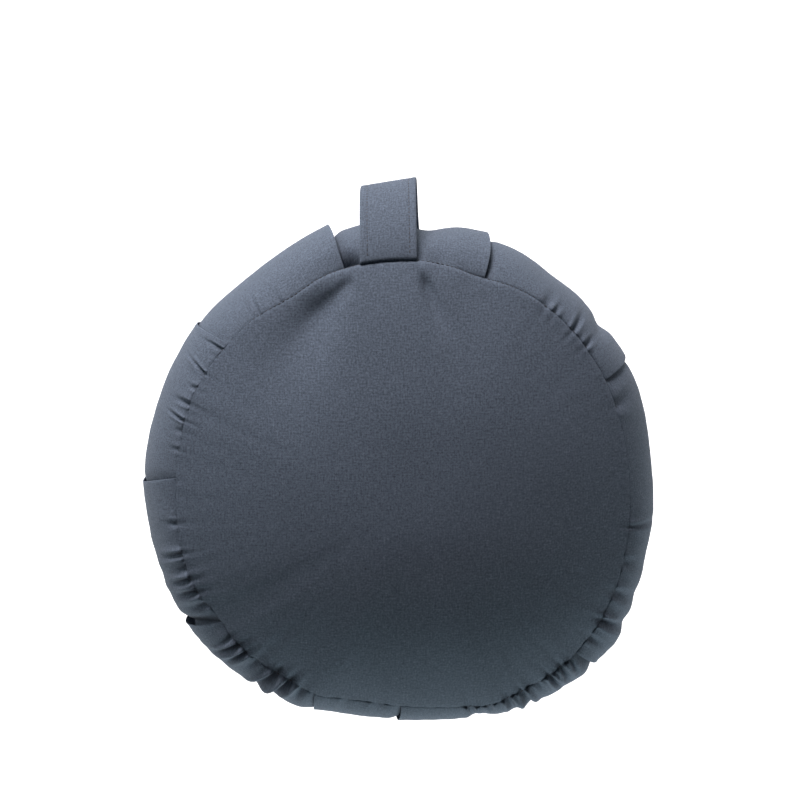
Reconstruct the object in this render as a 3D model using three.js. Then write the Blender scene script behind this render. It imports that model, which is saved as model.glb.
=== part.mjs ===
// Round meditation cushion: two round panels, a pleated side sewn between them, and a carrying handle.
// It lies on its back panel. Millimetres, +Z up, origin at the centre of the flat spot that it rests on.
// +Y points to the handle, and angles are in degrees from +X, anticlockwise as seen from above.
import * as THREE from "three";

// Driving dimensions of the filled cushion
const GIRTH_RADIUS = 185; // mean radius at the widest place of the side
const SEAM_INSET = 25; // how far both seams are drawn in from the girth
const FRONT_SEAM_HEIGHT = 112;
const BACK_SEAM_HEIGHT = 15;
const FRONT_CROWN = 42; // how far the front panel domes above its seam
const CROWN_POWER = 2.3; // higher is flatter in the middle and steeper at the seam
const REST_SHARE = 0.7; // share of the back panel's radius that lies flat
const SEAM_LEAN = 30; // degrees by which the side already slopes down where it leaves a seam

// Cloth
const PANEL_THICKNESS = 1.5;
const FLAP_THICKNESS = 1.2; // thickness of a pleat's free edge
const SEWN_GAP = 0.4; // free gap between pieces that are sewn together
const OPENING_SHARE = 0.16; // share of the side over which a pleat opens out from each seam

// Handle strap
const STRAP_WIDTH = 39.5;
const STRAP_THICKNESS = 2.6;
const STRAP_CENTRE_X = -13.6; // the strap is sewn a little to one side
const STRAP_REACH = 214; // outermost point of the loop, from the cushion's axis
const STRAP_TILT = 0.16; // the loop is pulled further out at its +X edge
const STRAP_CLEARANCE = 0.6; // free gap between a panel's edge and the strap's end
const LOOP_POINT = 1.4; // 1 is round, and higher has straighter legs, as a strap has that is held up

// How the strap draws up the front panel behind its seam
const STRAP_ANGLE = 90;
const RIDGE_HEIGHT = 3;
const RIDGE_HALF_WIDTH = 34;
const RIDGE_FADE_POWER = 8; // higher keeps the ridge closer to the seam

// Fineness of the surfaces
const PANEL_SECTORS = 72;
const PANEL_RINGS = [0.24, 0.46, 0.64, 0.8, 0.92, 1];
const SIDE_STEP = 1.5; // degrees between plain columns of the side
const SIDE_LEVELS = [0, 0.05, 0.12, 0.22, 0.35, 0.5, 0.65, 0.78, 0.88, 0.95, 1];
const FOLD_STEP = 0.15; // degrees along the seam between the columns of one fold
const FOLD_MARGIN = 1.2; // degrees beside a fold that are kept free of plain columns
const LOOP_STEPS = 18;
const STRAP_COLUMNS = 5;

// The girth and the seams are circles with a few slow waves.
const GIRTH_WAVES = [
  { waves: 2, amplitude: 3.1, peak: -33 },
  { waves: 3, amplitude: 4.3, peak: -38.5 },
  { waves: 4, amplitude: 2.6, peak: 43 },
  { waves: 5, amplitude: 1.3, peak: 22 },
];
const SEAM_WAVES = [
  { waves: 2, amplitude: 1.8, peak: -42 },
  { waves: 3, amplitude: 3.6, peak: -42 },
  { waves: 4, amplitude: 2.4, peak: 38 },
];

// Knife pleats of the side: every free edge looks clockwise. At the edge the flap stands proud, and the cloth
// that runs out from under it starts low. lap is how deep the fold is tucked in, along the girth. The rest
// are degrees: run is where the flap has levelled out, and rise where the low cloth has come up again.
const PLEATS = [
  { edge: 29.4, stand: 1.2, drop: 0.8, lap: 9, run: 20, rise: 10 },
  { edge: 71.4, stand: 3.2, drop: 2, lap: 12, run: 14, rise: 8 },
  { edge: 106.2, stand: 5, drop: 2.5, lap: 14, run: 16, rise: 12 },
  { edge: 142.4, stand: 1.8, drop: 0.8, lap: 9, run: 12, rise: 8 },
  { edge: 179.4, stand: 1.4, drop: 1, lap: 10, run: 14, rise: 10 },
  { edge: 212.6, stand: 0.8, drop: 6.5, lap: 12, run: 14, rise: 4.5 },
  { edge: 248.6, stand: 0.8, drop: 1, lap: 8, run: 12, rise: 5 },
  { edge: 268.3, stand: 1, drop: 4.5, lap: 7, run: 8, rise: 4 },
];

// Places where both seams are drawn in, or let out where the depth is negative
const SEAM_HOLLOWS = [
  { at: 72, depth: 3.5, halfWidth: 8 },
  { at: 121, depth: 3.5, halfWidth: 8 },
  { at: 157, depth: -4.5, halfWidth: 18 },
  { at: 214, depth: 4, halfWidth: 6 },
  { at: 246, depth: -4, halfWidth: 7 },
  { at: 291, depth: -3, halfWidth: 6 },
];

// Soft hollows of the side between the pleats, and the puffs that stand out between two of them
const GIRTH_HOLLOWS = [
  { at: 39, depth: 3.5, halfWidth: 3 },
  { at: 55, depth: 2, halfWidth: 6 },
  { at: 85, depth: 6, halfWidth: 5 },
  { at: 128, depth: 1.5, halfWidth: 10 },
  { at: 232.5, depth: 1.2, halfWidth: 2.4 },
  { at: 239.4, depth: 1.5, halfWidth: 1.8 },
  { at: 244, depth: -2.5, halfWidth: 4 },
  { at: 287.5, depth: 3.5, halfWidth: 2 },
  { at: 301.8, depth: 5.5, halfWidth: 2.2 },
  { at: 307.5, depth: 1.6, halfWidth: 2.5 },
  { at: 317, depth: 5, halfWidth: 2 },
  { at: 323, depth: -2, halfWidth: 3 },
  { at: 327, depth: 3, halfWidth: 2 },
  { at: 333.5, depth: 2.5, halfWidth: 3 },
  { at: 342, depth: 2, halfWidth: 6 },
];

const radians = THREE.MathUtils.degToRad;
const degrees = THREE.MathUtils.radToDeg;
const total = (values) => values.reduce((sum, value) => sum + value, 0);

// The signed turn from one angle to another, between -180 and 180 degrees.
function turn(from, to) {
  return THREE.MathUtils.euclideanModulo(to - from + 180, 360) - 180;
}

// A bell that is 1 in the middle and has fallen to about a third at its half width.
function bell(distance, halfWidth) {
  return Math.exp(-((distance / halfWidth) ** 2));
}

function waveHeight(table, angle) {
  const heightOf = ({ waves, amplitude, peak }) => amplitude * Math.cos(radians(waves * (angle - peak)));
  return total(table.map(heightOf));
}

function hollowDepth(table, angle) {
  return total(table.map(({ at, depth, halfWidth }) => depth * bell(turn(at, angle), halfWidth)));
}

function girthRadius(angle) {
  return GIRTH_RADIUS + waveHeight(GIRTH_WAVES, angle) - hollowDepth(GIRTH_HOLLOWS, angle);
}

function seamRadius(angle) {
  return GIRTH_RADIUS - SEAM_INSET + waveHeight(SEAM_WAVES, angle) - hollowDepth(SEAM_HOLLOWS, angle);
}

// Height of the front panel's outer face, at a share of the seam's radius.
function frontHeight(angle, share) {
  const crown = FRONT_CROWN * (1 - share ** CROWN_POWER);
  const across = seamRadius(angle) * share * Math.cos(radians(angle)) - STRAP_CENTRE_X;
  const towardsStrap = Math.max(0, Math.sin(radians(angle))) * share;
  const along = towardsStrap ** 2 * (1 - share ** RIDGE_FADE_POWER);
  return FRONT_SEAM_HEIGHT + PANEL_THICKNESS + crown + RIDGE_HEIGHT * bell(across, RIDGE_HALF_WIDTH) * along;
}

// Height of the back panel's outer face: flat where it rests, then curving up to its seam.
function backHeight(angle, share) {
  const rise = Math.max(0, (share - REST_SHARE) / (1 - REST_SHARE));
  return (BACK_SEAM_HEIGHT - PANEL_THICKNESS) * rise ** 2;
}

// How far the side stands out or in at an angle because of the flaps and the low cloth beside them.
function pleatOffset(angle) {
  return total(
    PLEATS.map(({ edge, stand, drop, run, rise }) => {
      const past = turn(edge, angle);
      if (past >= 0) return stand * Math.max(0, 1 - past / run) ** 2;
      return -drop * Math.max(0, 1 + past / rise) ** 2;
    }),
  );
}

// The columns of one fold, in the order in which the cloth runs round: down to the low cloth's end, back to
// the bottom of the tuck, out to the underside of the free edge, round it, and along the flap.
function foldColumns({ edge, lap }) {
  const tuck = degrees(lap / GIRTH_RADIUS);
  const flap = tuck + FOLD_MARGIN / 2;
  const low = edge - 2 * FOLD_STEP;
  return [
    { sewnAt: low, tuck: 0, offset: pleatOffset(low) },
    { sewnAt: edge - FOLD_STEP, tuck, offset: pleatOffset(edge + tuck) - 2 * FLAP_THICKNESS },
    { sewnAt: edge, tuck: 0, offset: pleatOffset(edge) - FLAP_THICKNESS },
    { sewnAt: edge + FOLD_STEP, tuck: 0, offset: pleatOffset(edge) },
    { sewnAt: edge + 2 * FOLD_STEP, tuck: flap, offset: pleatOffset(edge + flap) },
  ];
}

// All columns of the side. Each has the angle that it is sewn at, how far round its fold is tucked, in
// degrees, and how far it stands out.
function sideColumns() {
  const columns = PLEATS.flatMap(foldColumns);
  const isFolded = (angle) =>
    PLEATS.some(({ edge, lap }) => {
      const past = turn(edge, angle);
      return past > -FOLD_MARGIN && past < degrees(lap / GIRTH_RADIUS) + FOLD_MARGIN;
    });
  for (let angle = 0; angle < 360; angle += SIDE_STEP) {
    if (!isFolded(angle)) columns.push({ sewnAt: angle, tuck: 0, offset: pleatOffset(angle) });
  }
  return columns.sort((a, b) => a.sewnAt - b.sewnAt);
}

// How open the pleats are at a level of the side: sewn shut at both seams, free between them.
function openness(level) {
  return Math.min(1, Math.sqrt(Math.min(level, 1 - level) / OPENING_SHARE));
}

function polar(radius, angle, height) {
  return new THREE.Vector3(radius * Math.cos(radians(angle)), radius * Math.sin(radians(angle)), height);
}

// One ring of the side. Level 0 is the front seam and level 1 the back seam.
function sideRing(columns, level) {
  const open = openness(level);
  const lean = radians(SEAM_LEAN);
  const around = lean + (Math.PI - 2 * lean) * level;
  const swell = (Math.sin(around) - Math.sin(lean)) / (1 - Math.sin(lean));
  const front = FRONT_SEAM_HEIGHT - SEWN_GAP;
  const back = BACK_SEAM_HEIGHT + SEWN_GAP;
  const height = (front + back) / 2 + (((front - back) / 2) * Math.cos(around)) / Math.cos(lean);
  return columns.map(({ sewnAt, tuck, offset }) => {
    const angle = sewnAt + tuck * open;
    const seam = seamRadius(angle);
    return polar(seam + (girthRadius(angle) - seam) * swell + offset * open, angle, height);
  });
}

// One ring of a panel at a share of its radius.
function panelRing(share, heightAt) {
  return Array.from({ length: PANEL_SECTORS }, (_, i) => {
    const angle = (360 * i) / PANEL_SECTORS;
    return polar(seamRadius(angle) * share, angle, heightAt(angle, share));
  });
}

// A closed surface made of rings, each stitched to the next, from the top centre to the bottom.
// Every ring runs anticlockwise as seen from above, so all faces look outwards.
class RingedSolid {
  constructor() {
    this.points = [];
    this.faces = [];
    this.last = null;
    this.byCount = true;
  }

  // Whether the rings that follow are stitched point for point, or each by its points' angles.
  matched(byCount) {
    this.byCount = byCount;
    return this;
  }

  // Adds a ring, or a single point where the surface starts or ends, and stitches it to the one before.
  ring(points) {
    const ids = points.map((point) => this.points.push(point) - 1);
    if (this.last) this.stitch(this.last, ids);
    this.last = ids;
    return this;
  }

  stitch(upper, lower) {
    const upperSteps = upper.length > 1 ? upper.length : 0;
    const lowerSteps = lower.length > 1 ? lower.length : 0;
    let u = 0;
    let l = 0;
    while (u < upperSteps || l < lowerSteps) {
      const corner = upper[u % upper.length];
      const below = lower[l % lower.length];
      const upperBehind = () => u < upperSteps && this.heading(upper, u + 1) < this.heading(lower, l + 1);
      if (l === lowerSteps || upperBehind()) {
        u += 1;
        this.faces.push(corner, below, upper[u % upper.length]);
      } else {
        l += 1;
        this.faces.push(corner, below, lower[l % lower.length]);
      }
    }
  }

  // How far round a ring its point number i is: by count if the rings match, else by its angle.
  heading(ring, i) {
    if (this.byCount) return i / ring.length;
    if (i === ring.length) return 1;
    const point = this.points[ring[i]];
    return THREE.MathUtils.euclideanModulo(Math.atan2(point.y, point.x) / (2 * Math.PI), 1);
  }

  // Closes the surface with one flat face inside the last ring.
  close() {
    const ring = this.last;
    for (let i = 1; i < ring.length - 1; i++) {
      this.faces.push(ring[0], ring[i + 1], ring[i]);
    }
    return this;
  }

  // Closes a narrow ring that folds back on itself, such as the end of a strap, by joining its two sides.
  closeStrip(ring) {
    for (let i = 0; i < ring.length / 2 - 1; i++) {
      const [near, next] = [ring[i], ring[i + 1]];
      const [across, beyond] = [ring[ring.length - 1 - i], ring[ring.length - 2 - i]];
      this.faces.push(near, across, beyond, near, beyond, next);
    }
    return this;
  }

  geometry() {
    const made = new THREE.BufferGeometry().setFromPoints(this.points);
    made.setIndex(this.faces);
    made.computeVertexNormals();
    return made;
  }
}

// The filled side: the pleated cloth round it, and domed ends that the two panels lie on.
function filledSide() {
  const columns = sideColumns();
  const under = PANEL_THICKNESS + SEWN_GAP;
  const frontEnd = (angle, share) => frontHeight(angle, share) - under;
  const backEnd = (angle, share) => backHeight(angle, share) + under;
  const inner = PANEL_RINGS.slice(0, -1);
  const [outermost, ...others] = inner.filter((share) => share > REST_SHARE).reverse();
  const solid = new RingedSolid().ring([new THREE.Vector3(0, 0, frontEnd(0, 0))]);
  inner.forEach((share) => solid.ring(panelRing(share, frontEnd)));
  solid.matched(false).ring(sideRing(columns, SIDE_LEVELS[0])).matched(true);
  SIDE_LEVELS.slice(1).forEach((level) => solid.ring(sideRing(columns, level)));
  solid.matched(false).ring(panelRing(outermost, backEnd)).matched(true);
  [...others, REST_SHARE].forEach((share) => solid.ring(panelRing(share, backEnd)));
  return solid.close().geometry();
}

function frontPanel() {
  const underside = (angle, share) => frontHeight(angle, share) - PANEL_THICKNESS;
  const solid = new RingedSolid().ring([new THREE.Vector3(0, 0, frontHeight(0, 0))]);
  PANEL_RINGS.forEach((share) => solid.ring(panelRing(share, frontHeight)));
  [...PANEL_RINGS].reverse().forEach((share) => solid.ring(panelRing(share, underside)));
  return solid.ring([new THREE.Vector3(0, 0, underside(0, 0))]).geometry();
}

function backPanel() {
  const inside = (angle, share) => backHeight(angle, share) + PANEL_THICKNESS;
  const rings = [REST_SHARE, ...PANEL_RINGS.filter((share) => share > REST_SHARE)];
  const solid = new RingedSolid().ring([new THREE.Vector3(0, 0, inside(0, 0))]);
  rings.forEach((share) => solid.ring(panelRing(share, inside)));
  [...rings].reverse().forEach((share) => solid.ring(panelRing(share, backHeight)));
  return solid.close().geometry();
}

// The middle line of the strap in the plane of its column: out over the front seam, round the loop, and back.
// The points hold the distance from the axis along +Y, and the height.
function strapLine(x) {
  const angle = degrees(Math.atan2(seamRadius(STRAP_ANGLE), x));
  const start = Math.sqrt(seamRadius(angle) ** 2 - x ** 2) + STRAP_CLEARANCE;
  const reach = STRAP_REACH + STRAP_TILT * (x - STRAP_CENTRE_X) - STRAP_THICKNESS / 2 - start;
  const front = FRONT_SEAM_HEIGHT + STRAP_THICKNESS / 2;
  const back = BACK_SEAM_HEIGHT - STRAP_THICKNESS / 2;
  return Array.from({ length: LOOP_STEPS + 1 }, (_, i) => {
    const around = (Math.PI * i) / LOOP_STEPS;
    const out = Math.abs(Math.sin(around)) ** LOOP_POINT;
    const up = Math.sign(Math.cos(around)) * Math.abs(Math.cos(around)) ** LOOP_POINT;
    return new THREE.Vector2(start + reach * out, (front + back) / 2 + ((front - back) / 2) * up);
  });
}

// The strap's line moved sideways by a distance, to its outer or inner face. Both ends stay flat on the
// seams.
function offsetLine(line, distance) {
  const end = line.length - 1;
  return line.map((point, i) => {
    const along = line[Math.min(i + 1, end)].clone().sub(line[Math.max(i - 1, 0)]).normalize();
    const normal = new THREE.Vector2(-along.y, along.x);
    if (i === 0) normal.set(0, 1);
    if (i === end) normal.set(0, -1);
    return point.clone().addScaledVector(normal, distance);
  });
}

// The handle: one strap from seam to seam. Each section across it is a closed ring of its two faces.
function handleStrap() {
  const columns = Array.from({ length: STRAP_COLUMNS }, (_, i) => {
    const x = STRAP_CENTRE_X + STRAP_WIDTH * (i / (STRAP_COLUMNS - 1) - 0.5);
    const line = strapLine(x);
    const face = (side) => offsetLine(line, (side * STRAP_THICKNESS) / 2);
    return { x, outer: face(1), inner: face(-1) };
  });
  const place = (x, point) => new THREE.Vector3(x, point.x, point.y);
  const section = (i) => [
    ...columns.map(({ x, inner }) => place(x, inner[i])),
    ...columns.map(({ x, outer }) => place(x, outer[i])).reverse(),
  ];
  const solid = new RingedSolid().ring(section(0));
  solid.closeStrip([...solid.last].reverse());
  for (let i = 1; i <= LOOP_STEPS; i++) {
    solid.ring(section(i));
  }
  return solid.closeStrip(solid.last).geometry();
}

function piece(name, geometry) {
  const cloth = new THREE.MeshStandardMaterial({ color: 0x555e6c, roughness: 0.9, metalness: 0 });
  const mesh = new THREE.Mesh(geometry, cloth);
  mesh.name = name;
  return mesh;
}

const cushion = new THREE.Group();
cushion.add(piece("pleated_side", filledSide()));
cushion.add(piece("front_panel", frontPanel()));
cushion.add(piece("back_panel", backPanel()));
cushion.add(piece("handle_strap", handleStrap()));

export default cushion;
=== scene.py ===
"""Dresses the solids of a round meditation cushion: panels, pleated side, strap handle and sewing.

Lengths are millimetres and angles degrees, anticlockwise from +X as seen from above, until a mesh is made.
Meshes are in metres in the solids' own frame: +Z up, +Y towards the handle, the floor at 0.
"""

import logging
import math
from dataclasses import dataclass
from enum import Enum

import bmesh
import bpy
import numpy as np
from mathutils import Matrix, Vector, noise

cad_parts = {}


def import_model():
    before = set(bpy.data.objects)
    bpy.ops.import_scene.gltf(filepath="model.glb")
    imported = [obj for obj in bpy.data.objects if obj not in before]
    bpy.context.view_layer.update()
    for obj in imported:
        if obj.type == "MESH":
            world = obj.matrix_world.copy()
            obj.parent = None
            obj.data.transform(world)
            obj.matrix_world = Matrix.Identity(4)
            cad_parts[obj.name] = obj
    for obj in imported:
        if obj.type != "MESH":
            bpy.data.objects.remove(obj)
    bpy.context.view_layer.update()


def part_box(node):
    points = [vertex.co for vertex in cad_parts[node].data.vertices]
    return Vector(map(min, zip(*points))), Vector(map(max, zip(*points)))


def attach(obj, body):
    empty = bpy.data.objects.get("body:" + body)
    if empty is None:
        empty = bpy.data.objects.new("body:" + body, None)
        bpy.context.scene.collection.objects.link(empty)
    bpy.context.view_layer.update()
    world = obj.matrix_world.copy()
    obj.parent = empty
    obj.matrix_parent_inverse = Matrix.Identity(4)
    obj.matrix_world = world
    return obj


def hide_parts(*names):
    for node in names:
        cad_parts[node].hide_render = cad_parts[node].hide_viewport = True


MM = 0.001
BODY = "root"
CLOTH_UV = "cloth"
FOLD_EDGE = "fold_edge"
WELD_DISTANCE = 0.01
PLACE_DIGITS = 4

Array = np.ndarray
log = logging.getLogger("cushion")


class Slot(Enum):
    """The record's material slots."""

    SIDE = "side_cloth"
    PANEL = "panel_cloth"
    STRAP = "strap_cloth"


class Seed(Enum):
    """Which noise each kind of unevenness takes."""

    PUFFS = 1.0
    WRINKLES = 2.0
    SIDE_PUCKERS = 3.0
    FOLD_EDGES = 4.0
    PANEL_PUCKERS = 5.0
    PANEL_RIPPLES = 6.0
    STRAP_EDGES = 8.0
    SEAM_LINE = 9.0


# Small functions that the pieces share


def turn(start: float, angle: Array) -> Array:
    """The signed turn from one angle to others, between -180 and 180 degrees."""
    return (angle - start + 180.0) % 360.0 - 180.0


def polar(radius: Array, angle: Array) -> tuple[Array, Array]:
    """X and y of places that are given by their radius and angle."""
    return radius * np.cos(np.radians(angle)), radius * np.sin(np.radians(angle))


def way_along(*parts: Array) -> Array:
    """How far each row of places is from the first one, along the rows between.

    Args:
        parts: The places' coordinates, each by row, or by row and column.

    Returns:
        The distances, in the shape of one of the parts.
    """
    steps = np.sqrt(sum(np.diff(part, axis=0) ** 2 for part in parts))
    return np.concatenate([np.zeros_like(steps[:1]), np.cumsum(steps, axis=0)])


def bell(distance: Array, half_width: float) -> Array:
    """A bell that is 1 in the middle and has fallen to about a third at its half width."""
    return np.exp(-((distance / half_width) ** 2))


def ease(share: Array) -> Array:
    """A soft step that is 0 up to 0 and 1 from 1 on."""
    held = np.clip(share, 0.0, 1.0)
    return held * held * (3.0 - 2.0 * held)


def ripple(x: Array, y: Array, seed: Seed) -> Array:
    """Smooth noise between about -1 and 1 at places that are given in units of its waves.

    Args:
        x: Places along the first direction.
        y: Places along the second direction.
        seed: Picks the noise.

    Returns:
        The noise, in the shape of x and y.
    """
    flat = zip(np.ravel(x), np.ravel(y))
    values = [noise.noise(Vector((float(a), float(b), seed.value))) for a, b in flat]
    return np.array(values).reshape(np.shape(x))


def mesh_piece(name: str, points: Array, faces: list, uv: Array) -> bpy.types.Object:
    """Make a smooth object of points and faces.

    Args:
        name: The piece's name.
        points: One row for each point, in millimetres.
        faces: The points' numbers, face by face, anticlockwise as seen from outside.
        uv: One row for each point: its place on the flat cloth, in millimetres.

    Returns:
        The new object, at the origin, with a UV map of the cloth in millimetres.
    """
    mesh = bpy.data.meshes.new(name)
    mesh.from_pydata((points * MM).tolist(), [], faces)
    corners = np.empty(len(mesh.loops), dtype=np.int32)
    mesh.loops.foreach_get("vertex_index", corners)
    layer = mesh.uv_layers.new(name=CLOTH_UV)
    layer.data.foreach_set("uv", uv[corners].astype(np.float32).ravel())
    mesh.shade_smooth()
    piece = bpy.data.objects.new(name, mesh)
    bpy.context.scene.collection.objects.link(piece)
    return piece


def select_only(piece: bpy.types.Object) -> None:
    """Make a piece the only selected and the active object."""
    bpy.ops.object.select_all(action="DESELECT")
    piece.select_set(True)
    bpy.context.view_layer.objects.active = piece


def grid_faces(rows: int, columns: int) -> list[list[int]]:
    """Quads of a grid of points that are numbered row by row, the rows running down and the columns right."""
    row, column = np.meshgrid(np.arange(rows - 1), np.arange(columns - 1), indexing="ij")
    corner = (row * columns + column).ravel()
    return np.stack([corner, corner + columns, corner + columns + 1, corner + 1], axis=-1).tolist()


def weld(piece: bpy.types.Object) -> None:
    """Merge the points of a piece that lie at the same place."""
    work = bmesh.new()
    work.from_mesh(piece.data)
    bmesh.ops.remove_doubles(work, verts=work.verts, dist=WELD_DISTANCE * MM)
    work.to_mesh(piece.data)
    work.free()


# The form of the filled cushion


@dataclass(frozen=True)
class Wave:
    """A slow wave of the outline: how often it comes round, its height, and the angle of one peak."""

    count: int
    height: float
    peak: float

    def at(self, angle: Array) -> Array:
        """Height of the wave."""
        return self.height * np.cos(np.radians(self.count * (angle - self.peak)))


@dataclass(frozen=True)
class Hollow:
    """A soft hollow round one angle of the cushion, or a puff where its depth is negative."""

    at: float
    depth: float
    half_width: float

    def at_angle(self, angle: Array) -> Array:
        """Depth of the hollow."""
        return self.depth * bell(turn(self.at, angle), self.half_width)


@dataclass(frozen=True)
class Pleat:
    """A knife pleat of the side, whose free edge looks clockwise.

    At the edge the flap stands proud, and the cloth that runs out from under it starts low. lap is how
    deep the fold is tucked in. run is how far round the flap has levelled out, rise how far the low cloth
    has come up again, and slant how far the edge leans from the seam to the girth, all in degrees. gap is
    how deep the narrow crevice in front of the edge is.
    """

    edge: float
    stand: float
    drop: float
    lap: float
    run: float
    rise: float
    slant: float
    gap: float


@dataclass(frozen=True)
class Gather:
    """A short trough of gathered cloth that runs out from a seam.

    reach is the share of the side's height at which it has faded, lean how many degrees it has moved round
    at twice that reach, and ridge the share of its depth that stands up beside it. widening is how much wider
    it gets down the whole side, as a share.
    """

    at: float
    depth: float
    half_width: float
    reach: float
    lean: float = 0.0
    ridge: float = 0.5
    widening: float = 1.5

    def trough(self, angle: Array, level: Array) -> Array:
        """Depth of the trough, with the low ridges that it pushes up beside it.

        Args:
            angle: Where the cloth is round the cushion.
            level: Where it is on the side, from 0 at the seam.

        Returns:
            The depth.
        """
        centre = self.at + self.lean * np.minimum(1.0, level / (2.0 * self.reach))
        away = np.abs(turn(centre, angle))
        width = self.half_width * (1.0 + self.widening * level)
        shape = bell(away, width) - self.ridge * bell(away - 2.0 * width, width)
        return self.depth * shape * bell(level, self.reach)


@dataclass(frozen=True)
class Pocket:
    """A deep place of the side at the front seam, between the strap and the free edge of a flap."""

    start: float
    edge: float
    depth: float
    reach: float

    def at(self, angle: Array, level: Array) -> Array:
        """Depth of the pocket. Cloth past the flap's edge isn't drawn in."""
        across = (angle - self.start) / (self.edge - self.start)
        return np.where(across < 1.0, self.depth * ease(across) * bell(level, self.reach), 0.0)


@dataclass(frozen=True)
class CushionForm:
    """The driving sizes of the filled cushion, as the solids have them.

    seam_lean is how far the side leans out at its seams. The ridge runs from the strap into the front panel.
    slump is how far the filling has sagged for each millimetre away from the handle. The seams dip more at
    deep_seams and run less evenly at crumpled_seams.
    """

    front_seam: float
    back_seam: float
    front_crown: float
    girth_radius: float = 185.0
    seam_inset: float = 25.0
    seam_lean: float = 30.0
    crown_power: float = 2.3
    rest_share: float = 0.7
    panel_thickness: float = 1.5
    flush_rise: float = 1.45
    strap_angle: float = 90.0
    strap_centre: float = -13.6
    ridge_height: float = 3.0
    ridge_half_width: float = 34.0
    ridge_fade_power: float = 8.0
    slump: float = 0.08
    seam_dip: float = 0.15
    seam_dip_width: float = 0.9
    deep_seams: tuple[Hollow, ...] = (
        Hollow(40.0, 0.8, 20.0),
        Hollow(92.0, 2.0, 33.0),
        Hollow(225.0, 0.4, 25.0),
        Hollow(300.0, 0.4, 25.0),
    )
    wander: float = 0.3
    wander_size: float = 11.0
    crumpled_seams: tuple[Hollow, ...] = (
        Hollow(45.0, 0.4, 14.0),
        Hollow(160.0, 0.6, 22.0),
        Hollow(218.0, 1.3, 24.0),
        Hollow(306.0, 1.5, 20.0),
    )
    girth_waves: tuple[Wave, ...] = (
        Wave(2, 3.1, -33.0),
        Wave(3, 4.3, -38.5),
        Wave(4, 2.6, 43.0),
        Wave(5, 1.3, 22.0),
    )
    seam_waves: tuple[Wave, ...] = (Wave(2, 1.8, -42.0), Wave(3, 3.6, -42.0), Wave(4, 2.4, 38.0))
    seam_hollows: tuple[Hollow, ...] = (
        Hollow(72.0, 3.5, 8.0),
        Hollow(121.0, 3.5, 8.0),
        Hollow(157.0, -4.5, 18.0),
        Hollow(214.0, 4.0, 6.0),
        Hollow(246.0, -4.0, 7.0),
        Hollow(291.0, -3.0, 6.0),
    )
    girth_hollows: tuple[Hollow, ...] = (
        Hollow(39.0, 3.5, 3.0),
        Hollow(55.0, 2.0, 6.0),
        Hollow(85.0, 6.0, 5.0),
        Hollow(128.0, 1.5, 10.0),
        Hollow(232.5, 1.2, 2.4),
        Hollow(239.4, 1.5, 1.8),
        Hollow(244.0, -2.5, 4.0),
        Hollow(287.5, 3.5, 2.0),
        Hollow(301.8, 3.0, 2.2),
        Hollow(307.5, 1.6, 2.5),
        Hollow(317.0, 2.0, 2.0),
        Hollow(323.0, -2.0, 3.0),
        Hollow(327.0, 3.0, 2.0),
        Hollow(333.5, 2.5, 3.0),
        Hollow(342.0, 2.0, 6.0),
    )

    @classmethod
    def from_frame(cls) -> "CushionForm":
        """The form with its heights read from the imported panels."""
        front_low, front_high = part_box("front_panel")
        _, back_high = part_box("back_panel")
        seam = front_low[2] / MM
        crown = front_high[2] / MM - seam - cls.panel_thickness
        return cls(front_seam=seam, back_seam=back_high[2] / MM, front_crown=crown)

    def girth(self, angle: Array) -> Array:
        """Radius at the widest place of the side."""
        waves = sum(wave.at(angle) for wave in self.girth_waves)
        return self.girth_radius + waves - sum(hollow.at_angle(angle) for hollow in self.girth_hollows)

    def seam(self, angle: Array) -> Array:
        """Radius of both seams, which run unevenly where the cloth is crumpled."""
        waves = sum(wave.at(angle) for wave in self.seam_waves)
        plain = self.girth_radius - self.seam_inset + waves
        uneven = self.wander + sum(place.at_angle(angle) for place in self.crumpled_seams)
        unevenness = uneven * ripple(*polar(self.girth_radius / self.wander_size, angle), Seed.SEAM_LINE)
        return plain - sum(hollow.at_angle(angle) for hollow in self.seam_hollows) + unevenness

    def side(self, angle: Array, level: Array) -> tuple[Array, Array, Array, Array]:
        """The plain side between the pleats.

        Args:
            angle: Where round the cushion.
            level: Where down the side, from 0 at the front seam to 1 at the back seam.

        Returns:
            Radius and height of the place, and the outward and upward parts of its normal.
        """
        lean = math.radians(self.seam_lean)
        around = lean + (math.pi - 2.0 * lean) * level
        seam = self.seam(angle)
        swell = (self.girth(angle) - seam) / (1.0 - math.sin(lean))
        half = ((self.front_seam - self.back_seam) / 2.0 + self.flush_rise) / math.cos(lean)
        radius = seam + swell * (np.sin(around) - math.sin(lean))
        height = (self.front_seam + self.back_seam) / 2.0 + half * np.cos(around)
        outwards = half * np.sin(around)
        upwards = swell * np.cos(around)
        length = np.hypot(outwards, upwards)
        return radius, height, outwards / length, upwards / length

    def front_height(self, angle: Array, share: Array) -> Array:
        """Height of the front panel's outer face, which is fuller away from the handle."""
        x, y = polar(self.seam(angle) * share, angle)
        crown = self.front_crown * (1.0 - share**self.crown_power)
        sag = self.slump * y * (1.0 - share**2)
        towards_strap = np.maximum(0.0, np.sin(np.radians(angle))) * share
        along = towards_strap**2 * (1.0 - share**self.ridge_fade_power)
        ridge = self.ridge_height * bell(x - self.strap_centre, self.ridge_half_width) * along
        return self.front_seam + self.panel_thickness + crown + ridge - sag

    def back_height(self, share: Array) -> Array:
        """Height of the back panel's outer face: flat where it rests, then curving up to its seam."""
        rise = np.maximum(0.0, (share - self.rest_share) / (1.0 - self.rest_share))
        return (self.back_seam - self.panel_thickness) * rise**2

    def seam_depth(self, angle: Array) -> Array:
        """How deep the seams are drawn in, which is deepest beside the strap."""
        return self.seam_dip + sum(place.at_angle(angle) for place in self.deep_seams)

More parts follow.
